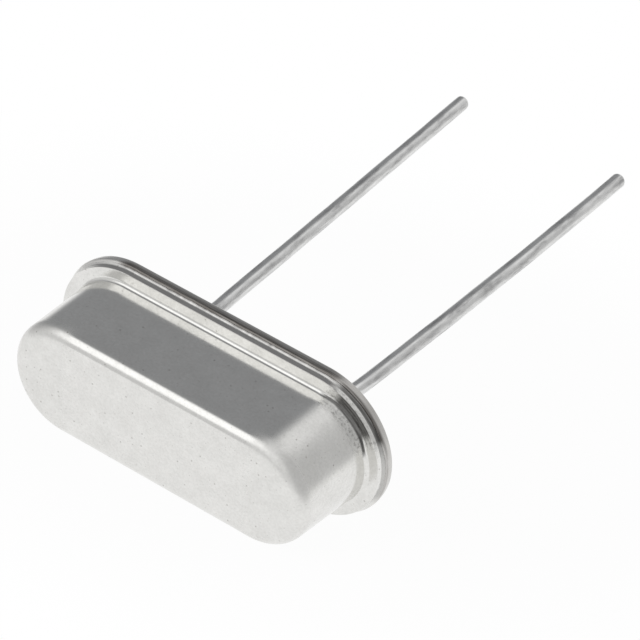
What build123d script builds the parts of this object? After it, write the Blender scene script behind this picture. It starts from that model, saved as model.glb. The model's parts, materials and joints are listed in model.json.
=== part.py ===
from build123d import *
import math
import os

# Two-lead quartz crystal unit in a low obround can.
# It is modelled upright on its seat, with Z = 0 at the seat and the leads pointing down, and then laid on its side.
# Lengths are in millimetres and angles in degrees.

# Drawn cover, its length and width taken where the wall meets the flange
can_length = 10.02
can_width = 3.61
can_height = 3.2
draft_angle = 1.7
cover_wall = 0.22
top_edge_radius = 0.34
root_radius = 0.16
cover_flange_reach = 0.38
cover_edge_radius = 0.07

# Base header
base_flange_thickness = 0.25
base_ledge = 0.1
base_edge_radius = 0.07
platform_rise = 0.65
platform_clearance = 0.08
platform_chamfer = 0.12

# Glass seals
seal_radius = 0.6
seal_dish = 0.06

# Leads
lead_pitch = 4.88
lead_radius = 0.215
lead_length = 14.8
lead_bend_length = 0.9
lead_spread_angle = 1.4
tip_radius = 0.12
head_flare = 0.2
head_thickness = 0.15
head_chamfer = 0.05
head_gap = 0.08

# Spring clips
clip_sheet = 0.1
clip_bend_radius = 0.1
clip_foot_width = 1.1
clip_foot_inset = 0.5
clip_side_clearance = 0.25
clip_over_blank = 0.36
clip_corner_radius = 0.25
slot_web = 0.2
slot_gap = 0.04

# Quartz blank and its silver films
blank_thickness = 0.2
blank_end_clearance = 0.8
blank_overhang = 0.2
blank_rise = 0.45
blank_corner_radius = 0.1
film_thickness = 0.02
film_margin = 0.24
film_corner_radius = 0.25
film_length = 3.8
tab_width = 0.8

# Conductive adhesive
adhesive_radius = 0.32

# Reach of a cut past the piece that it cuts
overrun = 1.0

# How close to a height an edge has to lie to be picked there
height_tolerance = 0.001

# How far the can's wall leans in for each unit of height
draft = math.tan(math.radians(draft_angle))

# Heights above the seat
flange_top = base_flange_thickness + cover_wall
platform_top = base_flange_thickness + platform_rise
head_bottom = platform_top + head_gap
head_top = head_bottom + head_thickness
blank_bottom = head_top + clip_sheet + blank_rise
blank_top = blank_bottom + blank_thickness
clip_top = blank_top + clip_over_blank

# The blank lies along the can, with its ends through the clips' upright walls
blank_length = can_length - 2 * (cover_wall + blank_end_clearance)
clip_wall_outside = blank_length / 2 - blank_overhang
clip_wall_inside = clip_wall_outside - clip_sheet

# The clips are as wide as the can's inside leaves room for at their upper ends, and the blank follows
inside_radius = can_width / 2 - cover_wall - draft * (clip_top - base_flange_thickness)
past_straight_sides = max(clip_wall_outside - (can_length - can_width) / 2, 0)
clip_width = 2 * (math.sqrt(inside_radius**2 - past_straight_sides**2) - clip_side_clearance)
blank_width = clip_width - 2 * (slot_web + slot_gap)

# Placing of a piece whose origin is the middle of its underside
ON_UNDERSIDE = (Align.CENTER, Align.CENTER, Align.MIN)


def obround(margin, bottom, top):
    """An upright obround block, the can's outline grown by a margin on all sides."""
    outline = SlotOverall(can_length + 2 * margin, can_width + 2 * margin)
    return Pos(0, 0, bottom) * extrude(outline, top - bottom)


def drafted_obround(margin, bottom, top):
    """An obround block with the can's draft, the margin holding at the flange's underside."""
    bottom_margin = margin - draft * (bottom - base_flange_thickness)
    outline = SlotOverall(can_length + 2 * bottom_margin, can_width + 2 * bottom_margin)
    return Pos(0, 0, bottom) * extrude(outline, top - bottom, taper=draft_angle)


def edges_at(piece, *heights):
    """The edges of a piece that lie level at the given heights."""
    found = ShapeList()
    for height in heights:
        found += piece.edges().filter_by_position(Axis.Z, height - height_tolerance, height + height_tolerance)
    return found


def cover_can():
    """The drawn cover, one sheet thickness from its rounded top to the rim of its flange."""
    can = drafted_obround(0, base_flange_thickness, can_height)
    can = fillet(edges_at(can, can_height), top_edge_radius)
    flange = obround(cover_flange_reach, base_flange_thickness, flange_top)
    flange = fillet(edges_at(flange, flange_top), cover_edge_radius)
    block = can + flange
    block = fillet(new_edges(can, flange, combined=block), root_radius)
    ceiling = can_height - cover_wall
    hollow = drafted_obround(-cover_wall, base_flange_thickness - overrun, ceiling)
    hollow = fillet(edges_at(hollow, ceiling), top_edge_radius - cover_wall)
    cover = block - hollow
    return fillet(new_edges(block, hollow, combined=cover), root_radius + cover_wall)


def base_header():
    """The stamped base: a flange under the cover's flange, and a platform that fits inside the can."""
    flange = obround(cover_flange_reach + base_ledge, 0, base_flange_thickness)
    flange = fillet(edges_at(flange, 0, base_flange_thickness), base_edge_radius)
    platform = obround(-cover_wall - platform_clearance, 0, platform_top)
    platform = chamfer(edges_at(platform, platform_top), platform_chamfer)
    base = flange + platform
    for side in (-1, 1):
        bore = Cylinder(seal_radius, platform_top + 2 * overrun, align=ON_UNDERSIDE)
        base -= Pos(side * lead_pitch / 2, 0, -overrun) * bore
    return base


def glass_seal(side):
    """A glass bead between the base's bore and the lead, dished outside where the glass wets the metal."""
    middle = (lead_radius + seal_radius) / 2
    along_lead = Line((lead_radius, 0), (lead_radius, platform_top))
    inner_face = Line(along_lead @ 1, (seal_radius, platform_top))
    along_bore = Line(inner_face @ 1, (seal_radius, 0))
    outer_face = Bezier(along_bore @ 1, (middle, 2 * seal_dish), along_lead @ 0)
    section = Plane.XZ * make_face([along_lead, inner_face, along_bore, outer_face])
    return Pos(side * lead_pitch / 2, 0, 0) * revolve(section, Axis.Z)


def lead(side):
    """A wire with a flat welding head inside the can, bent slightly outwards just below the seat."""
    place = side * lead_pitch / 2
    bend_radius = lead_bend_length / math.radians(lead_spread_angle)
    through = Line((place, head_bottom), (place, 0))
    bend = JernArc(through @ 1, through % 1, bend_radius, side * lead_spread_angle)
    run = Line(bend @ 1, bend @ 1 + (lead_length - lead_bend_length) * (bend % 1))
    path = Plane.XZ * Wire([through, bend, run])
    wire = sweep(Plane(origin=path @ 0, z_dir=path % 0) * Circle(lead_radius), path=path)
    wire = fillet(wire.faces().sort_by(Axis.Z)[0].edges(), tip_radius)
    head = Cylinder(lead_radius + head_flare, head_thickness, align=ON_UNDERSIDE)
    head = chamfer(edges_at(head, head_thickness), head_chamfer)
    return wire + Pos(place, 0, head_bottom) * head


def spring_clip(side):
    """A strip bent into an L: its foot sits on the lead's head, and its upright wall has a slot for the blank."""
    foot_start = lead_pitch / 2 - clip_foot_inset
    foot_middle = head_top + clip_sheet / 2
    wall_middle = clip_wall_inside + clip_sheet / 2
    bend_radius = clip_bend_radius + clip_sheet / 2
    path = FilletPolyline(
        (foot_start, foot_middle), (wall_middle, foot_middle), (wall_middle, clip_top), radius=bend_radius
    )
    strip = Plane.XZ * (Sketch() + trace(path, clip_sheet))
    clip = extrude(strip, clip_width / 2, both=True)
    clip = fillet(clip.edges().filter_by(Axis.X).group_by(Axis.Z)[-1], clip_corner_radius)
    foot_end = clip_wall_inside - clip_bend_radius
    notch = Box(foot_end - foot_start + overrun, overrun, overrun)
    for edge in (-1, 1):
        beside_foot = edge * (clip_foot_width + overrun) / 2
        clip -= Pos((foot_start - overrun + foot_end) / 2, beside_foot, foot_middle) * notch
    slot = Box(overrun, blank_width + 2 * slot_gap, blank_thickness + 2 * slot_gap)
    clip -= Pos(wall_middle, 0, (blank_bottom + blank_top) / 2) * slot
    return clip if side > 0 else mirror(clip, Plane.YZ)


def quartz_blank():
    """The quartz strip, lying level with its ends through the clips' slots."""
    plate = RectangleRounded(blank_length, blank_width, blank_corner_radius)
    return Pos(0, 0, blank_bottom) * extrude(plate, blank_thickness)


def electrode(side, bottom):
    """A silver film on one face of the blank, with a tab that runs to the clip at one end."""
    tab_start = film_length / 2 - film_corner_radius
    tab_length = clip_wall_inside - tab_start
    film = RectangleRounded(film_length, blank_width - 2 * film_margin, film_corner_radius)
    film += Pos(side * (tab_start + tab_length / 2), 0) * Rectangle(tab_length, tab_width)
    return Pos(0, 0, bottom) * extrude(film, film_thickness)


def adhesive(side, face, outward):
    """A quarter ball of adhesive in the corner between a tab's face and the clip's upright wall."""
    ball = Pos(side * clip_wall_inside, 0, face) * Sphere(adhesive_radius)
    size = 2 * adhesive_radius
    inwards = side * (clip_wall_inside - adhesive_radius)
    return ball & Pos(inwards, 0, face + outward * adhesive_radius) * Box(size, size, size)


def upright_pieces():
    """Every piece in its place, with the part standing on its seat."""
    pieces = {
        "cover_can": cover_can(),
        "base_header": base_header(),
        "quartz_blank": quartz_blank(),
        "electrode_cover_side": electrode(1, blank_top),
        "electrode_base_side": electrode(-1, blank_bottom - film_thickness),
        "adhesive_right": adhesive(1, blank_top + film_thickness, 1),
        "adhesive_left": adhesive(-1, blank_bottom - film_thickness, -1),
    }
    for name, side in (("left", -1), ("right", 1)):
        pieces["glass_seal_" + name] = glass_seal(side)
        pieces["lead_" + name] = lead(side)
        pieces["spring_clip_" + name] = spring_clip(side)
    return pieces


def rest_tilt():
    """How far the lying can tips, so that the base's rim and the can's top edge both touch the ground."""
    top_centre = can_height - top_edge_radius
    run = top_centre - (base_flange_thickness - base_edge_radius)
    wall_inset = draft * (top_centre - base_flange_thickness)
    wall_inset += top_edge_radius / math.cos(math.radians(draft_angle))
    drop = wall_inset + cover_flange_reach + base_ledge - base_edge_radius
    lean = math.asin((top_edge_radius - base_edge_radius) / math.hypot(run, drop))
    return math.degrees(math.atan2(drop, run) - lean)


def lay_down(pieces):
    """Turn the upright pieces onto the can's long side, with the ground at Z = 0 under the middle of their box."""
    quarter_turn = 90
    turned = {name: Rot(X=quarter_turn + rest_tilt()) * piece for name, piece in pieces.items()}
    box = Compound(list(turned.values())).bounding_box()
    middle = box.center()
    return {name: Pos(-middle.X, -middle.Y, -box.min.Z) * piece for name, piece in turned.items()}


os.makedirs("parts", exist_ok=True)
for name, piece in lay_down(upright_pieces()).items():
    export_step(piece, "parts/" + name + ".step")
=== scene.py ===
import json
import math

import bmesh
import bpy
from mathutils import Matrix, Vector, noise


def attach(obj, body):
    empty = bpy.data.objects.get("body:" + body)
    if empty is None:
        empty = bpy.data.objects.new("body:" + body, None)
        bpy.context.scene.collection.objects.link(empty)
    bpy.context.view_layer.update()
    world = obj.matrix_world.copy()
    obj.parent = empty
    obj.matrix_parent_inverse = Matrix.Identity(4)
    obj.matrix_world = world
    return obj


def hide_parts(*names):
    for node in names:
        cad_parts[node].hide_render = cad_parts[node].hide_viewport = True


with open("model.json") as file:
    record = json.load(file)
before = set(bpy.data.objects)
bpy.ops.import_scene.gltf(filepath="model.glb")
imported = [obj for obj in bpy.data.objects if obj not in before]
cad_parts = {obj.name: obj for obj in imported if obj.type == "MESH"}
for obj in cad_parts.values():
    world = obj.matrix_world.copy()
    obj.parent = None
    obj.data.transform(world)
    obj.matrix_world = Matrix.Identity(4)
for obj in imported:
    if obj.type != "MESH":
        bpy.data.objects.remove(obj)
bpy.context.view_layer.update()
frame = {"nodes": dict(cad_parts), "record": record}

# Lengths are in millimetres and angles in degrees, unless a name says otherwise.
MM = 0.001

# The part's own axes, from its seat: along the can, along the leads, and across the can
seat_mount = next(mount for mount in frame["record"]["mounts"] if mount["name"] == "seat")
SEAT = Vector(seat_mount["pos_m"])
LEADS_AXIS = Vector(seat_mount["axis"])
CAN_AXIS = Vector((1, 0, 0))
ACROSS_AXIS = CAN_AXIS.cross(LEADS_AXIS)

# Cover
can_length = 10.02
can_width = 3.61
can_height = 3.2
draft_angle = 1.7
cover_wall = 0.22
top_edge_radius = 0.42
root_radius = 0.13
upright_wall_top = 0.95
flare_top = 0.9
flare_bottom = 0.62
flare_reach = 0.055
cover_flange_reach = 0.38
cover_edge_radius = 0.02
seam_height = 0.3
weld_reach = 0.06
weld_top = 0.37

# Base
base_flange_thickness = 0.25
base_ledge = 0.1
base_edge_radius = 0.05
rim_taper = 0.02
ledge_round = 0.126
platform_rise = 0.65
platform_clearance = 0.08
platform_chamfer = 0.12
seal_radius = 0.6

# Leads
lead_pitch = 4.88
lead_radius = 0.215
lead_length = 14.797
lead_bend_length = 0.9
lead_spread_angle = 1.4
tip_radius = 0.12
head_flare = 0.2
head_thickness = 0.15
head_chamfer = 0.05
head_gap = 0.08
lead_waviness = 0.012
lead_sways = {"left": 0.204, "right": 0.147}
lead_bows = {"left": 0.02, "right": 0.085}
lead_sway_tip = -0.235
lead_drop_near = -0.096
lead_drop_tip = -0.004
lead_sway_turn = 2.4

# Marks on the can, as a start, an end and a fade: dark lines and bands along the edges, the ledge and the
# seam, painted shade and a painted dark reflection at the right end, and the drawn sheet's creases, with
# painted shade in them, its flare and its dull top edge.
# Turns are round an end of the can: 0 at the right end's tip, 90 on the can's upper side.
# The painted shade at the root, the painted reflection, the seam stripe, the creases and the flare are on the
# right end alone.
flange_line_turns = (80, 122, 8)
flange_line_fade = 0.02
rim_line_turns = (80, 96, 8)
rim_line_heights = (0.15, 0.32, 0.02)
rim_line_inner_share = 0.8
rim_line_inner_band = 0.05
right_rim_upper_turns = (46, 82, 14)
right_rim_upper_share = 0.55
right_rim_lower_turns = (-20, 46, 14)
right_rim_lower_share = 0.35
right_rim_heights = (0.0, 0.22, 0.03)
ledge_line_turns = (84, 98, 8)
ledge_line_heights = (0.22, 0.305, 0.025)
ledge_line_share = 0.75
ledge_line_inset = 0.03
# The root line is painted shade along the wall's root, and the patch is a painted dark reflection over the
# flange and the root.
root_painted_shade_turns = (22, 80, 6)
root_painted_shade_margins = (-0.01, 0.03, 0.012)
root_painted_shade_heights = (0.52, 0.62, 0.02)
painted_reflection_turns = (36, 68, 5)
painted_reflection_margins = (0.0, 0.36, 0.02)
painted_reflection_heights = (0.5, 0.64, 0.02)
seam_stripe_upper_turns = (28, 72, 8)
seam_stripe_lower_turns = (-20, 28, 10)
seam_stripe_lower_share = 0.45
seam_stripe_heights = (0.23, 0.38, 0.02)
crease_turns = (28, 76, 8)
crease_heights = (0.5, 0.78, 0.2)
flare_turns = (34, 70, 12)
dull_edge_share = 0.9
dull_edge_below_top = 0.02
dull_edge_fade = 0.15
dull_end_fade = 0.3
mark_fade = 0.01

# Fineness of the meshes, as steps
arc_steps = 96
straight_steps = 160
fillet_steps = 12
lead_sides = 40
lead_steps = 150
bore_steps = 48

draft = math.tan(math.radians(draft_angle))
flange_top = seam_height + cover_wall
platform_top = base_flange_thickness + platform_rise
head_bottom = platform_top + head_gap
head_top = head_bottom + head_thickness
half_core = (can_length - can_width) / 2
end_radius = can_width / 2


# Places and meshes


def in_frame(along, across, height):
    """A point along the can, across it and above the seat, as a place in the frame, in metres."""
    return SEAT + MM * (along * CAN_AXIS + across * ACROSS_AXIS - height * LEADS_AXIS)


def stations():
    """Places round the obround: the middle that each is turned about, and its outward direction."""
    places = []
    half_steps = straight_steps // 2
    for step in range(half_steps):
        places.append((half_core * step / half_steps, -90.0))
    for step in range(arc_steps):
        places.append((half_core, -90 + 180 * step / arc_steps))
    for step in range(straight_steps):
        places.append((half_core * (1 - 2 * step / straight_steps), 90.0))
    for step in range(arc_steps):
        places.append((-half_core, 90 + 180 * step / arc_steps))
    for step in range(half_steps):
        places.append((-half_core * (1 - step / half_steps), -90.0))
    return places


def outline_points(margin):
    """The points of the can's outline grown by a margin, along and across the can."""
    points = []
    for middle, turn in stations():
        reach = end_radius + margin
        along = middle + reach * math.cos(math.radians(turn))
        points.append((along, reach * math.sin(math.radians(turn))))
    return points


def round_lengths():
    """How far round the outline each of its points is."""
    points = outline_points(0)
    lengths = [0.0]
    for first, second in zip(points, points[1:]):
        lengths.append(lengths[-1] + math.dist(first, second))
    return lengths


def arc(centre, radius, start, end, steps=fillet_steps):
    """The points of an arc in a profile of margins and heights."""
    points = []
    for step in range(steps + 1):
        turn = math.radians(start + (end - start) * step / steps)
        points.append((centre[0] + radius * math.cos(turn), centre[1] + radius * math.sin(turn)))
    return points


def level_run(first, second, height, steps):
    """Points between two margins at one height, without the ends."""
    return [(first + (second - first) * step / steps, height) for step in range(1, steps)]


def swept(profile, unevenness=None, masks=None):
    """A mesh swept round the obround from a profile.

    The way round, the way along the profile and the masks are kept at each point.
    """
    masks = masks or {}
    mesh_maker = bmesh.new()
    around = mesh_maker.verts.layers.float.new("around")
    along = mesh_maker.verts.layers.float.new("along")
    mask_layers = {key: mesh_maker.verts.layers.float.new(key) for key in masks}
    lengths = round_lengths()
    rings = []
    travelled = 0.0
    for index, (margin, height) in enumerate(profile):
        if index:
            travelled += math.dist(profile[index - 1], profile[index])
        ring = []
        for step, (middle, turn) in enumerate(stations()):
            grown = margin
            if unevenness:
                grown += unevenness(lengths[step], middle, turn, margin, height)
            reach = end_radius + grown
            place = (middle + reach * math.cos(math.radians(turn)), reach * math.sin(math.radians(turn)))
            vert = mesh_maker.verts.new(in_frame(place[0], place[1], height))
            vert[around] = lengths[step]
            vert[along] = travelled
            for key, mask in masks.items():
                vert[mask_layers[key]] = mask(middle, turn, margin, height)
            ring.append(vert)
        rings.append(ring)
    for inner, outer in zip(rings, rings[1:]):
        for step in range(len(inner)):
            after = (step + 1) % len(inner)
            mesh_maker.faces.new((inner[step], inner[after], outer[after], outer[step]))
    return mesh_maker, rings


def close_across(mesh_maker, ring):
    """Close a ring with faces from one straight side to the other, and one face at each rounded end."""
    half_steps = straight_steps // 2
    upper_start = half_steps + arc_steps
    upper_end = upper_start + straight_steps
    lower = [ring[(upper_end + arc_steps + step) % len(ring)] for step in range(straight_steps + 1)]
    upper = [ring[upper_end - step] for step in range(straight_steps + 1)]
    for step in range(straight_steps):
        mesh_maker.faces.new((lower[step], lower[step + 1], upper[step + 1], upper[step]))
    mesh_maker.faces.new(ring[half_steps : upper_start + 1])
    mesh_maker.faces.new(ring[upper_end : upper_end + arc_steps + 1])


def finished(mesh_maker, name, node, material, sharp_angle=35):
    """Turn a mesh into a piece that rides on the part in place of its node."""
    bmesh.ops.recalc_face_normals(mesh_maker, faces=mesh_maker.faces)
    mesh = bpy.data.meshes.new(name)
    mesh_maker.to_mesh(mesh)
    mesh_maker.free()
    for polygon in mesh.polygons:
        polygon.use_smooth = True
    mesh.set_sharp_from_angle(angle=math.radians(sharp_angle))
    mesh.materials.append(material)
    piece = bpy.data.objects.new(name, mesh)
    bpy.context.scene.collection.objects.link(piece)
    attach(piece, "root")
    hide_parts(node)
    return piece


# Profiles


def wall_margin(height):
    """How far the wall stands from the outline at a height: upright near the flange, drafted above."""
    return -draft * (max(height, upright_wall_top) - base_flange_thickness)


def cover_profile():
    """Margins and heights over the cover, from the middle of its top to the rim and back inside."""
    slope = math.cos(math.radians(draft_angle))
    top_centre = can_height - top_edge_radius
    top_middle = wall_margin(top_centre) - top_edge_radius / slope
    root_centre = flange_top + root_radius
    root_middle = wall_margin(root_centre) + root_radius
    edge_middle = cover_flange_reach - cover_edge_radius
    ceiling = can_height - cover_wall
    inner_radius = top_edge_radius - cover_wall
    middle_share = 0.97
    middle = -middle_share * end_radius
    profile = [(middle, can_height)]
    profile += level_run(middle, top_middle, can_height, 16)
    profile += arc((top_middle, top_centre), top_edge_radius, 90, draft_angle)
    wall_top = profile[-1][1]
    wall_rows = 24
    for row in range(1, wall_rows):
        height = wall_top + (root_centre - wall_top) * row / wall_rows
        profile.append((wall_margin(height), height))
    profile += arc((root_middle, root_centre), root_radius, 180, 270)
    profile += level_run(root_middle, edge_middle, flange_top, 6)
    profile += arc((edge_middle, flange_top - cover_edge_radius), cover_edge_radius, 90, 0)
    edge_rows = 10
    edge_height = flange_top - cover_edge_radius - seam_height
    for row in range(1, edge_rows + 1):
        profile.append((cover_flange_reach, seam_height + edge_height * (1 - row / edge_rows)))
    profile += arc((root_middle, root_centre), root_radius + cover_wall, 270, 180)
    inside_margin = wall_margin(ceiling - inner_radius) - cover_wall - inner_radius / slope
    profile += arc((inside_margin, ceiling - inner_radius), inner_radius, draft_angle, 90)
    profile.append((middle, ceiling))
    return profile


def base_profile():
    """Margins and heights over the base, from its underside round the rim to the platform's top."""
    rim = cover_flange_reach + base_ledge
    rim_middle = rim - base_edge_radius
    platform = -cover_wall - platform_clearance
    flat_band = 0.12
    profile = [(rim_middle - rim_taper - flat_band, 0)]
    profile += arc((rim_middle - rim_taper, base_edge_radius), base_edge_radius, -90, 0)
    profile += arc((rim - ledge_round, seam_height - ledge_round), ledge_round, 0, 90)
    profile.append((platform, seam_height))
    profile.append((platform, platform_top - platform_chamfer))
    profile.append((platform - platform_chamfer, platform_top))
    return profile


def cover_unevenness(length, middle, turn, margin, height):
    """How far the cover departs from its profile: the weld's bead, and a flare at its right end."""
    return weld_bead(length, margin, height) + root_flare(middle, turn, margin, height)


def root_flare(middle, turn, margin, height):
    """How far the wall spreads towards its root at the can's right end, fading out over the flange."""
    if middle < half_core or height < flange_top:
        return 0.0
    rise = min(max((flare_top - height) / (flare_top - flare_bottom), 0.0), 1.0)
    over_flange = min(max((cover_flange_reach - margin) / cover_flange_reach, 0.0), 1.0)
    return flare_reach * window(turn, *flare_turns) * rise * rise * over_flange


def weld_bead(length, margin, height):
    """The weld's uneven bead, where the cover's flange meets the base."""
    if margin < cover_flange_reach or height > weld_top:
        return 0.0
    share = (weld_top - height) / (weld_top - seam_height)
    coarse = noise.noise(Vector((length * 2.6, 0.0, 0.0)))
    fine = noise.noise(Vector((length * 9.0, 7.0, 0.0)))
    return weld_reach * share * (0.9 + 0.15 * coarse + 0.2 * fine)


def window(value, low, high, soft):
    """One between two values, fading to zero outside them."""
    rise = min(max((value - low) / soft + 1, 0.0), 1.0)
    fall = min(max((high - value) / soft + 1, 0.0), 1.0)
    return rise * fall


def past_flange(margin, inset=mark_fade):
    """One outside the cover's flange, from a small inset within its edge."""
    return window(margin, cover_flange_reach - inset, 1.0, mark_fade)


def edge_mask(middle, turn, margin, height):
    """One on the dark lines along the flanges' edges on the can's upper side, and less on the right rim. Over
    the cover's rounded edge the darkening is painted shade that dims its highlight.
    """
    flange_line = window(turn, *flange_line_turns) * window(height, weld_top, flange_top, flange_line_fade)
    rim_line = window(turn, *rim_line_turns) * window(height, *rim_line_heights)
    outer_rim = window(margin, cover_flange_reach + rim_line_inner_band, 1.0, flange_line_fade)
    rim_line *= rim_line_inner_share + (1 - rim_line_inner_share) * outer_rim
    upper_rim = right_rim_upper_share * window(turn, *right_rim_upper_turns)
    lower_rim = right_rim_lower_share * window(turn, *right_rim_lower_turns)
    right_rim = max(upper_rim, lower_rim) * window(height, *right_rim_heights)
    return past_flange(margin) * max(flange_line, rim_line, right_rim)


def weld_mask(middle, turn, margin, height):
    """One on the weld's rough bead."""
    return window(height, 0.0, weld_top, mark_fade) * past_flange(margin)


def dark_bands_and_painted_shade_mask(middle, turn, margin, height):
    """One on a dark band on the ledge beside the bead, and at the right end on a dark stripe along the seam,
    on painted shade along the wall's root and on a painted dark reflection over the flange.
    """
    ledge_line = window(turn, *ledge_line_turns) * past_flange(margin, ledge_line_inset)
    ledge_line *= ledge_line_share * window(height, *ledge_line_heights)
    if middle < half_core:
        return ledge_line
    # At the right end: painted shade along the wall's root, a painted dark reflection over the flange, and a
    # dark stripe along the seam.
    root_painted_shade = window(turn, *root_painted_shade_turns) * window(margin, *root_painted_shade_margins)
    root_painted_shade *= window(height, *root_painted_shade_heights)
    painted_reflection = window(turn, *painted_reflection_turns) * window(margin, *painted_reflection_margins) * window(height, *painted_reflection_heights)
    lower_stripe = seam_stripe_lower_share * window(turn, *seam_stripe_lower_turns)
    stripe = max(window(turn, *seam_stripe_upper_turns), lower_stripe)
    stripe *= past_flange(margin) * window(height, *seam_stripe_heights)
    return max(ledge_line, root_painted_shade, painted_reflection, stripe)


def wrinkle_mask(middle, turn, margin, height):
    """One at the root of the can's right end, where drawing the sheet has left fine creases, which are bumped
    and darkened with painted shade.
    """
    if middle < half_core:
        return 0.0
    return window(turn, *crease_turns) * window(height, *crease_heights)


def corner_mask(middle, turn, margin, height):
    """One on the can's rounded top edge round its ends, where the drawn sheet is dull."""
    edge_bottom = can_height - dull_edge_share * top_edge_radius
    at_edge = window(height, edge_bottom, can_height - dull_edge_below_top, dull_edge_fade)
    return window(abs(middle), half_core, can_length, dull_end_fade) * at_edge


# Materials


def new_material(name):
    """A new material, and its Principled shader."""
    material = bpy.data.materials.new(name)
    material.use_nodes = True
    shader = material.node_tree.nodes["Principled BSDF"]
    return material, shader


def add(tree, kind, **settings):
    """Add a node and set its properties."""
    node = tree.nodes.new(kind)
    for key, value in settings.items():
        setattr(node, key, value)
    return node


def noise_over(tree, vector, scale, detail=3.0, roughness=0.5):
    """A noise texture over a vector."""
    texture = add(tree, "ShaderNodeTexNoise")
    texture.inputs["Scale"].default_value = scale
    texture.inputs["Detail"].default_value = detail
    texture.inputs["Roughness"].default_value = roughness
    tree.links.new(vector, texture.inputs["Vector"])
    return texture.outputs["Fac"]


def ranged(tree, value, from_low, from_high, to_low, to_high):
    """A value moved from one range to another, held at the ends."""
    node = add(tree, "ShaderNodeMapRange", interpolation_type="SMOOTHSTEP")
    tree.links.new(value, node.inputs["Value"])
    node.inputs["From Min"].default_value = from_low
    node.inputs["From Max"].default_value = from_high
    node.inputs["To Min"].default_value = to_low
    node.inputs["To Max"].default_value = to_high
    return node.outputs["Result"]


def ramp(tree, value, *stops):
    """A colour ramp through stops of position and colour."""
    node = add(tree, "ShaderNodeValToRGB")
    elements = node.color_ramp.elements
    while len(elements) < len(stops):
        elements.new(0.5)
    for element, (position, colour) in zip(elements, stops):
        element.position = position
        element.color = (*colour, 1.0)
    tree.links.new(value, node.inputs["Fac"])
    return node.outputs["Color"]


def combined(tree, operation, first, second):
    """Two values put together by a maths operation."""
    node = add(tree, "ShaderNodeMath", operation=operation)
    for socket, value in zip(node.inputs, (first, second)):
        if isinstance(value, (int, float)):
            socket.default_value = value
        else:
            tree.links.new(value, socket)
    return node.outputs["Value"]


def weighted(tree, first, first_weight, second, second_weight):
    """The sum of two values, each times its weight."""
    first_part = combined(tree, "MULTIPLY", first, first_weight)
    return combined(tree, "ADD", first_part, combined(tree, "MULTIPLY", second, second_weight))


def part_place(tree):
    """The place on the part in millimetres, turned to the part's own axes."""
    coordinates = add(tree, "ShaderNodeTexCoord")
    mapping = add(tree, "ShaderNodeMapping", vector_type="POINT")
    turn = math.atan2(LEADS_AXIS.z, LEADS_AXIS.y)
    mapping.inputs["Rotation"].default_value = (-turn, 0, 0)
    mapping.inputs["Scale"].default_value = (1 / MM, 1 / MM, 1 / MM)
    tree.links.new(coordinates.outputs["Object"], mapping.inputs["Vector"])
    return mapping.outputs["Vector"]


def stretched(tree, vector, scale):
    """A vector with its axes scaled."""
    mapping = add(tree, "ShaderNodeMapping", vector_type="POINT")
    mapping.inputs["Scale"].default_value = scale
    tree.links.new(vector, mapping.inputs["Vector"])
    return mapping.outputs["Vector"]


def attribute_pair(tree):
    """The way round and along a swept or turned piece, as a vector."""
    around = add(tree, "ShaderNodeAttribute", attribute_name="around")
    along = add(tree, "ShaderNodeAttribute", attribute_name="along")
    joined = add(tree, "ShaderNodeCombineXYZ")
    tree.links.new(around.outputs["Fac"], joined.inputs["X"])
    tree.links.new(along.outputs["Fac"], joined.inputs["Y"])
    return joined.outputs["Vector"]


def bump(tree, shader, height, strength, distance):
    """A bump on a shader from a height, with its distance in millimetres."""
    node = add(tree, "ShaderNodeBump")
    node.inputs["Strength"].default_value = strength
    node.inputs["Distance"].default_value = distance * MM
    tree.links.new(height, node.inputs["Height"])
    tree.links.new(node.outputs["Normal"], shader.inputs["Normal"])


def attribute_value(tree, name):
    """A value kept at the points of a mesh."""
    return add(tree, "ShaderNodeAttribute", attribute_name=name).outputs["Fac"]


def masked(tree, name, value):
    """A value where a mask kept at the points of a mesh is one, and less of it elsewhere."""
    return combined(tree, "MULTIPLY", attribute_value(tree, name), value)


def specks(tree, place, scale, size, share):
    """Small scattered specks, as a factor."""
    cells = add(tree, "ShaderNodeTexVoronoi")
    cells.inputs["Scale"].default_value = scale
    tree.links.new(place, cells.inputs["Vector"])
    near = ranged(tree, cells.outputs["Distance"], 0.5 * size, size, 1.0, 0.0)
    parted = add(tree, "ShaderNodeSeparateColor")
    tree.links.new(cells.outputs["Color"], parted.inputs["Color"])
    chosen = combined(tree, "LESS_THAN", parted.outputs["Red"], share)
    return combined(tree, "MULTIPLY", near, chosen)


def darkened(tree, colour, factor, tone):
    """A colour taken towards a tone by a factor."""
    node = add(tree, "ShaderNodeMix", data_type="RGBA")
    tree.links.new(factor, node.inputs["Factor"])
    tree.links.new(colour, node.inputs["A"])
    node.inputs["B"].default_value = (*tone, 1)
    return node.outputs["Result"]


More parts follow.
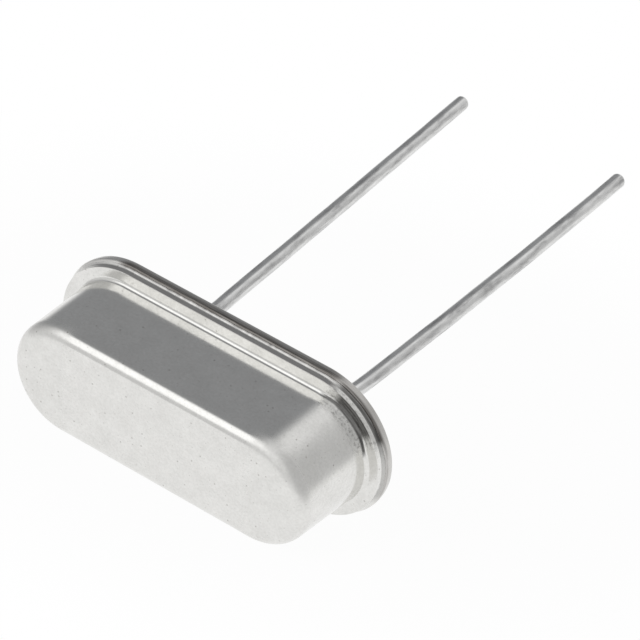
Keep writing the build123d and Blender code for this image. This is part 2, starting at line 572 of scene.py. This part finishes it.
def cover_material():
    """Satin nickel plate with mottling, specks, dark lines along the flanges' edges and bands by the seam,
    painted shade and a painted dark reflection at its right end, and creases there with painted shade in
    them.
    """
    dark_nickel = (0.7, 0.695, 0.675)
    light_nickel = (0.8, 0.795, 0.775)
    large_speck_tone = (0.5, 0.49, 0.47)
    small_speck_tone = (0.62, 0.61, 0.59)
    edge_tone = (0.5, 0.485, 0.47)
    # Tone of the dark bands by the ledge and the seam, and of the painted shade and painted dark reflection
    # at the right end.
    dark_band_and_painted_shade_tone = (0.09, 0.088, 0.085)
    # Painted shade in the creases
    crease_painted_shade_tone = (0.2, 0.195, 0.19)
    material, shader = new_material("cover_nickel")
    tree = material.node_tree
    shader.inputs["Metallic"].default_value = 1.0
    place = part_place(tree)
    pair = attribute_pair(tree)
    mottle = noise_over(tree, place, 1.6, 4.0, 0.6)
    grain = noise_over(tree, place, 13.0, 2.0, 0.6)
    mixed = weighted(tree, mottle, 0.5, grain, 0.5)
    colour = ramp(tree, mixed, (0.35, dark_nickel), (0.65, light_nickel))
    colour = darkened(tree, colour, specks(tree, place, 3.6, 0.12, 0.7), large_speck_tone)
    colour = darkened(tree, colour, specks(tree, place, 6.5, 0.15, 0.7), small_speck_tone)
    streaks = noise_over(tree, stretched(tree, pair, (1.1, 22.0, 1.0)), 1.0, 3.0, 0.65)
    # Darker along the flanges' edges; over the cover's rounded edge this is painted shade that dims its
    # highlight.
    edge = masked(tree, "edge", ranged(tree, streaks, 0.3, 0.7, 1.0, 0.6))
    colour = darkened(tree, colour, edge, edge_tone)
    # Dark bands by the ledge and the seam, and painted shade and a painted dark reflection at the right end.
    dark_bands_and_painted_shade = masked(tree, "dark_bands_and_painted_shade", ranged(tree, streaks, 0.35, 0.62, 1.0, 0.75))
    colour = darkened(tree, colour, dark_bands_and_painted_shade, dark_band_and_painted_shade_tone)
    wrinkles = noise_over(tree, stretched(tree, pair, (9.0, 11.0, 1.0)), 1.0, 3.0, 0.6)
    # The creases are darkened as painted shade, besides their bumps and roughness.
    crease_painted_shade = masked(tree, "wrinkle", ranged(tree, wrinkles, 0.5, 0.64, 0.0, 0.5))
    colour = darkened(tree, colour, crease_painted_shade, crease_painted_shade_tone)
    tree.links.new(colour, shader.inputs["Base Color"])
    roughness = ranged(tree, mixed, 0.3, 0.7, 0.2, 0.14)
    for name, extra in (("corner", 0.16), ("wrinkle", 0.22), ("weld", 0.12)):
        roughness = combined(tree, "ADD", roughness, masked(tree, name, extra))
    tree.links.new(roughness, shader.inputs["Roughness"])
    wrinkled = combined(tree, "MULTIPLY", masked(tree, "wrinkle", wrinkles), 24.0)
    bump(tree, shader, combined(tree, "ADD", mixed, wrinkled), 0.25, 0.004)
    return material


def base_material():
    """Satin nickel plate, darkened and streaked along the rim."""
    dark_nickel = (0.68, 0.67, 0.65)
    light_nickel = (0.78, 0.77, 0.75)
    edge_tone = (0.27, 0.255, 0.24)
    dark_band_and_painted_shade_tone = (0.1, 0.09, 0.082)
    material, shader = new_material("base_nickel")
    tree = material.node_tree
    shader.inputs["Metallic"].default_value = 1.0
    pair = attribute_pair(tree)
    streaks = noise_over(tree, stretched(tree, pair, (1.0, 20.0, 1.0)), 1.0, 3.0, 0.65)
    mottle = noise_over(tree, part_place(tree), 3.0, 4.0, 0.6)
    colour = ramp(tree, mottle, (0.3, dark_nickel), (0.7, light_nickel))
    edge = masked(tree, "edge", ranged(tree, streaks, 0.35, 0.65, 1.0, 0.7))
    colour = darkened(tree, colour, edge, edge_tone)
    # Dark bands by the ledge and the seam, from the same mask as the cover's painted shade.
    dark_bands_and_painted_shade = masked(tree, "dark_bands_and_painted_shade", ranged(tree, streaks, 0.35, 0.62, 1.0, 0.7))
    colour = darkened(tree, colour, dark_bands_and_painted_shade, dark_band_and_painted_shade_tone)
    tree.links.new(colour, shader.inputs["Base Color"])
    tree.links.new(ranged(tree, mottle, 0.3, 0.7, 0.28, 0.2), shader.inputs["Roughness"])
    bump(tree, shader, mottle, 0.25, 0.005)
    return material


def wire_material():
    """Tinned wire, dull, with streaks drawn out along it."""
    dark_tin = (0.44, 0.44, 0.44)
    middle_tin = (0.68, 0.68, 0.675)
    light_tin = (0.82, 0.82, 0.815)
    material, shader = new_material("tinned_wire")
    tree = material.node_tree
    shader.inputs["Metallic"].default_value = 1.0
    pair = attribute_pair(tree)
    streaks = noise_over(tree, stretched(tree, pair, (5.0, 0.8, 1.0)), 1.0, 3.0, 0.55)
    fine = noise_over(tree, stretched(tree, pair, (14.0, 4.0, 1.0)), 1.0, 2.0, 0.6)
    mixed = weighted(tree, streaks, 0.75, fine, 0.25)
    colour = ramp(tree, mixed, (0.36, dark_tin), (0.5, middle_tin), (0.66, light_tin))
    tree.links.new(colour, shader.inputs["Base Color"])
    tree.links.new(ranged(tree, mixed, 0.35, 0.65, 0.36, 0.22), shader.inputs["Roughness"])
    bump(tree, shader, mixed, 0.3, 0.01)
    return material


def glass_material():
    """Dark sealing glass, faintly cloudy."""
    material, shader = new_material("seal_glass")
    tree = material.node_tree
    place = part_place(tree)
    cloud = noise_over(tree, place, 6.0, 3.0, 0.6)
    colour = ramp(tree, cloud, (0.3, (0.02, 0.035, 0.04)), (0.7, (0.06, 0.085, 0.09)))
    tree.links.new(colour, shader.inputs["Base Color"])
    tree.links.new(ranged(tree, cloud, 0.3, 0.7, 0.06, 0.14), shader.inputs["Roughness"])
    shader.inputs["Coat Weight"].default_value = 0.4
    return material


def quartz_material():
    """Lapped quartz, clear with a fine frosting."""
    material, shader = new_material("quartz")
    tree = material.node_tree
    place = part_place(tree)
    lapping = noise_over(tree, place, 40.0, 2.0, 0.6)
    colour = ramp(tree, lapping, (0.3, (0.86, 0.9, 0.91)), (0.7, (0.94, 0.96, 0.96)))
    tree.links.new(colour, shader.inputs["Base Color"])
    tree.links.new(ranged(tree, lapping, 0.3, 0.7, 0.12, 0.3), shader.inputs["Roughness"])
    shader.inputs["Transmission Weight"].default_value = 0.85
    shader.inputs["IOR"].default_value = 1.54
    return material


def sheet_material(name, scale, dark, light, rough_low, rough_high, metallic=1.0):
    """A plain metal, film or paste with a fine uneven tone."""
    material, shader = new_material(name)
    tree = material.node_tree
    shader.inputs["Metallic"].default_value = metallic
    place = part_place(tree)
    tone = noise_over(tree, stretched(tree, place, scale), 1.0, 3.0, 0.6)
    tree.links.new(ramp(tree, tone, (0.3, dark), (0.7, light)), shader.inputs["Base Color"])
    tree.links.new(ranged(tree, tone, 0.3, 0.7, rough_low, rough_high), shader.inputs["Roughness"])
    return material


# Pieces


def make_cover(material):
    """The drawn cover, from its top to the welded rim and its inside."""
    masks = {"edge": edge_mask, "weld": weld_mask, "dark_bands_and_painted_shade": dark_bands_and_painted_shade_mask}
    masks.update(wrinkle=wrinkle_mask, corner=corner_mask)
    maker, rings = swept(cover_profile(), cover_unevenness, masks)
    close_across(maker, rings[0])
    close_across(maker, rings[-1])
    return finished(maker, "cover_shell", "cover_can", material)


def bore_ring(maker, side, height):
    """A ring of points round a lead's bore."""
    ring = []
    for step in range(bore_steps):
        turn = 2 * math.pi * step / bore_steps
        along = side * lead_pitch / 2 + seal_radius * math.cos(turn)
        ring.append(maker.verts.new(in_frame(along, seal_radius * math.sin(turn), height)))
    return ring


def ring_edges(maker, ring):
    """The edges of a closed ring of points."""
    edges = []
    for first, second in zip(ring, ring[1:] + ring[:1]):
        edge = maker.edges.get((first, second))
        edges.append(edge or maker.edges.new((first, second)))
    return edges


def make_base(material):
    """The base, with its rim, platform and the two bores for the seals."""
    maker, rings = swept(base_profile(), masks={"edge": edge_mask, "dark_bands_and_painted_shade": dark_bands_and_painted_shade_mask})
    bores = {}
    for outer, height in ((rings[0], 0), (rings[-1], platform_top)):
        edges = ring_edges(maker, outer)
        for side in (-1, 1):
            bores[side, height] = bore_ring(maker, side, height)
            edges += ring_edges(maker, bores[side, height])
        bmesh.ops.triangle_fill(maker, use_beauty=True, edges=edges)
    for side in (-1, 1):
        low, high = bores[side, 0], bores[side, platform_top]
        for step in range(bore_steps):
            after = (step + 1) % bore_steps
            maker.faces.new((low[step], low[after], high[after], high[step]))
    return finished(maker, "base_plate", "base_header", material)


def lead_path(side, travelled):
    """A lead's middle and direction, along the can and above the seat, at a distance below its seat."""
    start = side * lead_pitch / 2
    spread = math.radians(lead_spread_angle)
    if travelled <= 0:
        return (start, -travelled), (0.0, -1.0)
    radius = lead_bend_length / spread
    turned = min(travelled, lead_bend_length) / radius
    along = start + side * radius * (1 - math.cos(turned))
    height = -radius * math.sin(turned)
    beyond = max(travelled - lead_bend_length, 0.0)
    direction = (side * math.sin(turned), -math.cos(turned))
    return (along + beyond * direction[0], height + beyond * direction[1]), direction


def lead_push(free, near, tip):
    """How far a lead is pushed aside at a distance below the seat, from its pushes near it and at the tip."""
    slope = (tip - near) / (lead_length - lead_sway_turn)
    if free > lead_sway_turn:
        return near + slope * (free - lead_sway_turn)
    share = free / lead_sway_turn
    return share * share * (near * (3 - 2 * share) + slope * lead_sway_turn * (share - 1))


def lead_rings():
    """Distances below the seat and radii along a lead, from its head to its tip."""
    head_radius = lead_radius + head_flare
    rings = [
        (-head_top, head_radius - head_chamfer),
        (-head_top + head_chamfer, head_radius),
        (-head_bottom, head_radius),
        (-head_bottom, lead_radius),
    ]
    tip_start = lead_length - tip_radius
    for step in range(lead_steps + 1):
        rings.append((tip_start * step / lead_steps, lead_radius))
    for distance, radius in arc((tip_start, lead_radius - tip_radius), tip_radius, 90, 0)[1:]:
        rings.append((distance, radius))
    return rings


def make_lead(side, name, material):
    """A lead with its welding head, bent slightly outwards, with a hand-straightened wire's faint waves."""
    wave_rate = 0.35
    maker = bmesh.new()
    around = maker.verts.layers.float.new("around")
    along = maker.verts.layers.float.new("along")
    rings = []
    for distance, radius in lead_rings():
        (middle, height), (across_run, down_run) = lead_path(side, distance)
        free = max(distance, 0.0)
        share = free / lead_length
        middle += lead_push(free, lead_sways[name], lead_sway_tip) + 4 * lead_bows[name] * share * (1 - share)
        lift = lead_push(free, lead_drop_near, lead_drop_tip)
        wave = lead_waviness * min(free, 1.0)
        middle += wave * noise.noise(Vector((wave_rate * free, 3.0 * side, 0.0)))
        lift += wave * noise.noise(Vector((wave_rate * free, 3.0 * side, 9.0)))
        ring = []
        for step in range(lead_sides):
            turn = 2 * math.pi * step / lead_sides
            sideways = radius * math.cos(turn)
            across = lift + radius * math.sin(turn)
            place = in_frame(middle - down_run * sideways, across, height + across_run * sideways)
            vert = maker.verts.new(place)
            vert[around] = lead_radius * turn + 20 * (side + 1)
            vert[along] = distance
            ring.append(vert)
        rings.append(ring)
    for upper, lower in zip(rings, rings[1:]):
        for step in range(lead_sides):
            after = (step + 1) % lead_sides
            maker.faces.new((upper[step], upper[after], lower[after], lower[step]))
    maker.faces.new(rings[0])
    maker.faces.new(rings[-1])
    return finished(maker, "wire_" + name, "lead_" + name, material)


make_cover(cover_material())
make_base(base_material())
wire = wire_material()
make_lead(-1, "left", wire)
make_lead(1, "right", wire)

clip_tones = (0.58, 0.56, 0.52), (0.7, 0.68, 0.63)
film_tones = (0.84, 0.83, 0.8), (0.92, 0.91, 0.88)
paste_tones = (0.4, 0.4, 0.39), (0.62, 0.62, 0.6)
kept_materials = {
    "glass_seal_left": glass_material(),
    "spring_clip_left": sheet_material("nickel_silver", (3, 3, 3), *clip_tones, 0.18, 0.3),
    "quartz_blank": quartz_material(),
    "electrode_cover_side": sheet_material("silver_film", (9, 9, 9), *film_tones, 0.1, 0.2),
    "adhesive_left": sheet_material("silver_epoxy", (25, 25, 25), *paste_tones, 0.45, 0.65, 0.6),
}
kept_materials["glass_seal_right"] = kept_materials["glass_seal_left"]
kept_materials["spring_clip_right"] = kept_materials["spring_clip_left"]
kept_materials["electrode_base_side"] = kept_materials["electrode_cover_side"]
kept_materials["adhesive_right"] = kept_materials["adhesive_left"]
for node_name, material in kept_materials.items():
    frame["nodes"][node_name].material_slots[0].material = material


# Stage, light and camera


def part_direction(azimuth, elevation):
    """A direction in the frame. Azimuth 0 is along the leads and 90 along the can. Elevation is across it."""
    turn, rise = math.radians(azimuth), math.radians(elevation)
    level = math.sin(turn) * CAN_AXIS + math.cos(turn) * LEADS_AXIS
    return math.cos(rise) * level + math.sin(rise) * ACROSS_AXIS


def make_floor():
    """A white floor under the part, which keeps a faint shadow and fades to the white round it. In metres."""
    size = 0.018
    floor_gap = 0.00002
    white_share = 0.955
    maker = bmesh.new()
    bmesh.ops.create_circle(maker, cap_ends=True, segments=96, radius=size)
    mesh = bpy.data.meshes.new("floor")
    maker.to_mesh(mesh)
    maker.free()
    floor = bpy.data.objects.new("floor", mesh)
    floor.location = (0, 0, -floor_gap)
    bpy.context.scene.collection.objects.link(floor)
    material = bpy.data.materials.new("floor_white")
    material.use_nodes = True
    tree = material.node_tree
    tree.nodes.clear()
    output = add(tree, "ShaderNodeOutputMaterial")
    diffuse = add(tree, "ShaderNodeBsdfDiffuse")
    diffuse.inputs["Color"].default_value = (0.9, 0.9, 0.9, 1)
    glow = add(tree, "ShaderNodeEmission")
    glow.inputs["Color"].default_value = (1, 1, 1, 1)
    glow.inputs["Strength"].default_value = 1.0
    rays = add(tree, "ShaderNodeLightPath")
    seen = combined(tree, "MAXIMUM", rays.outputs["Is Camera Ray"], rays.outputs["Is Glossy Ray"])
    seen = combined(tree, "MAXIMUM", seen, rays.outputs["Is Transmission Ray"])
    coordinates = add(tree, "ShaderNodeTexCoord")
    distance = add(tree, "ShaderNodeVectorMath", operation="LENGTH")
    tree.links.new(coordinates.outputs["Object"], distance.inputs[0])
    white = ranged(tree, distance.outputs["Value"], 0.5 * size, 0.95 * size, white_share, 1.0)
    share = combined(tree, "MULTIPLY", seen, white)
    mix = add(tree, "ShaderNodeMixShader")
    tree.links.new(share, mix.inputs["Fac"])
    tree.links.new(diffuse.outputs["BSDF"], mix.inputs[1])
    tree.links.new(glow.outputs["Emission"], mix.inputs[2])
    tree.links.new(mix.outputs["Shader"], output.inputs["Surface"])
    mesh.materials.append(material)


# Tones of the studio, low and high round the part and on its floor
low_tone = (0.72, 0.72, 0.72)
high_tone = (0.85, 0.85, 0.85)
floor_tone = (0.97, 0.97, 0.965)

# Soft areas of the studio, each over the ones before: azimuth, elevation, inner and outer radius, and tone
studio_areas = [
    (178, 30, 8, 32, (0.9, 0.9, 0.9)),
    (88, 24, 32, 60, (0.575, 0.575, 0.575)),
    (-74, 20, 8, 44, (0.5, 0.5, 0.505)),
    (-146, 38, 12, 24, (1.35, 1.35, 1.35)),
    (-88, 60, 14, 22, (0.3, 0.305, 0.313)),
    (-52, 12, 12, 27, (0.3, 0.305, 0.313)),
    (-54, 38, 23, 41, (0.295, 0.3, 0.308)),
    (48, -34, 20, 30, (0.93, 0.93, 0.925)),
]

# Where the studio's floor begins: a direction away from it, and the cosines that it fades between
floor_rise_azimuth = -160
floor_rise = 79
floor_full, floor_none = -0.63, -0.11


def make_world():
    """A pale studio with soft areas of light and shade, which the metal mirrors. The camera sees it white."""
    world = bpy.data.worlds.new("studio")
    bpy.context.scene.world = world
    world.use_nodes = True
    tree = world.node_tree
    background = tree.nodes["Background"]
    coordinates = add(tree, "ShaderNodeTexCoord")
    direction = coordinates.outputs["Generated"]

    def facing(azimuth, elevation):
        node = add(tree, "ShaderNodeVectorMath", operation="DOT_PRODUCT")
        tree.links.new(direction, node.inputs[0])
        node.inputs[1].default_value = part_direction(azimuth, elevation)
        return node.outputs["Value"]

    rise = facing(0, 90)
    colour = ramp(tree, ranged(tree, rise, 0.0, 0.85, 0.0, 1.0), (0.0, low_tone), (1.0, high_tone))
    for azimuth, elevation, inner, outer, tone in studio_areas:
        low, high = math.cos(math.radians(outer)), math.cos(math.radians(inner))
        factor = ranged(tree, facing(azimuth, elevation), low, high, 0.0, 1.0)
        colour = darkened(tree, colour, factor, tone)
    below = ranged(tree, facing(floor_rise_azimuth, floor_rise), floor_full, floor_none, 1.0, 0.0)
    colour = darkened(tree, colour, below, floor_tone)
    rays = add(tree, "ShaderNodeLightPath")
    seen = combined(tree, "MAXIMUM", rays.outputs["Is Camera Ray"], rays.outputs["Is Transmission Ray"])
    shown = darkened(tree, colour, seen, (1, 1, 1))
    tree.links.new(shown, background.inputs["Color"])
    background.inputs["Strength"].default_value = 1.0


def make_softbox():
    """A soft lamp in front of the can and above it, in metres, which gives the floor its soft shadow."""
    distance = 0.12
    lamp_data = bpy.data.lights.new("softbox", "AREA")
    lamp_data.shape = "RECTANGLE"
    lamp_data.size = 0.08
    lamp_data.size_y = 0.06
    lamp_data.energy = 0.022
    lamp = bpy.data.objects.new("softbox", lamp_data)
    back = part_direction(-150, 42)
    lamp.location = SEAT + distance * back
    lamp.rotation_mode = "QUATERNION"
    lamp.rotation_quaternion = back.to_track_quat("Z", "Y")
    lamp.visible_camera = False
    lamp.visible_glossy = False
    bpy.context.scene.collection.objects.link(lamp)


def make_camera():
    """The camera, placed in the part's own axes as the photo's view was fitted."""
    azimuth, elevation, roll = 34.53, 38.21, 5.11
    aim_along, aim_leads, aim_across = 0.07, 3.90, -0.156
    distance = 115.08
    lens_length, sensor_width = 236.94, 36.0
    camera_data = bpy.data.cameras.new("camera")
    camera_data.sensor_width = sensor_width
    camera_data.lens = lens_length
    camera_data.clip_start = 0.001
    camera_data.clip_end = 10.0
    camera = bpy.data.objects.new("camera", camera_data)
    back = part_direction(180 - azimuth, elevation)
    level_right = ACROSS_AXIS.cross(back).normalized()
    level_up = back.cross(level_right)
    turn = math.radians(roll)
    right = math.cos(turn) * level_right + math.sin(turn) * level_up
    up = back.cross(right)
    eye = in_frame(aim_along, aim_across, -aim_leads) + distance * MM * back
    rotation = Matrix((right, up, back)).transposed()
    camera.matrix_world = Matrix.Translation(eye) @ rotation.to_4x4()
    bpy.context.scene.collection.objects.link(camera)
    bpy.context.scene.camera = camera


make_floor()
make_world()
make_softbox()
make_camera()
bpy.context.scene.view_settings.view_transform = "Standard"
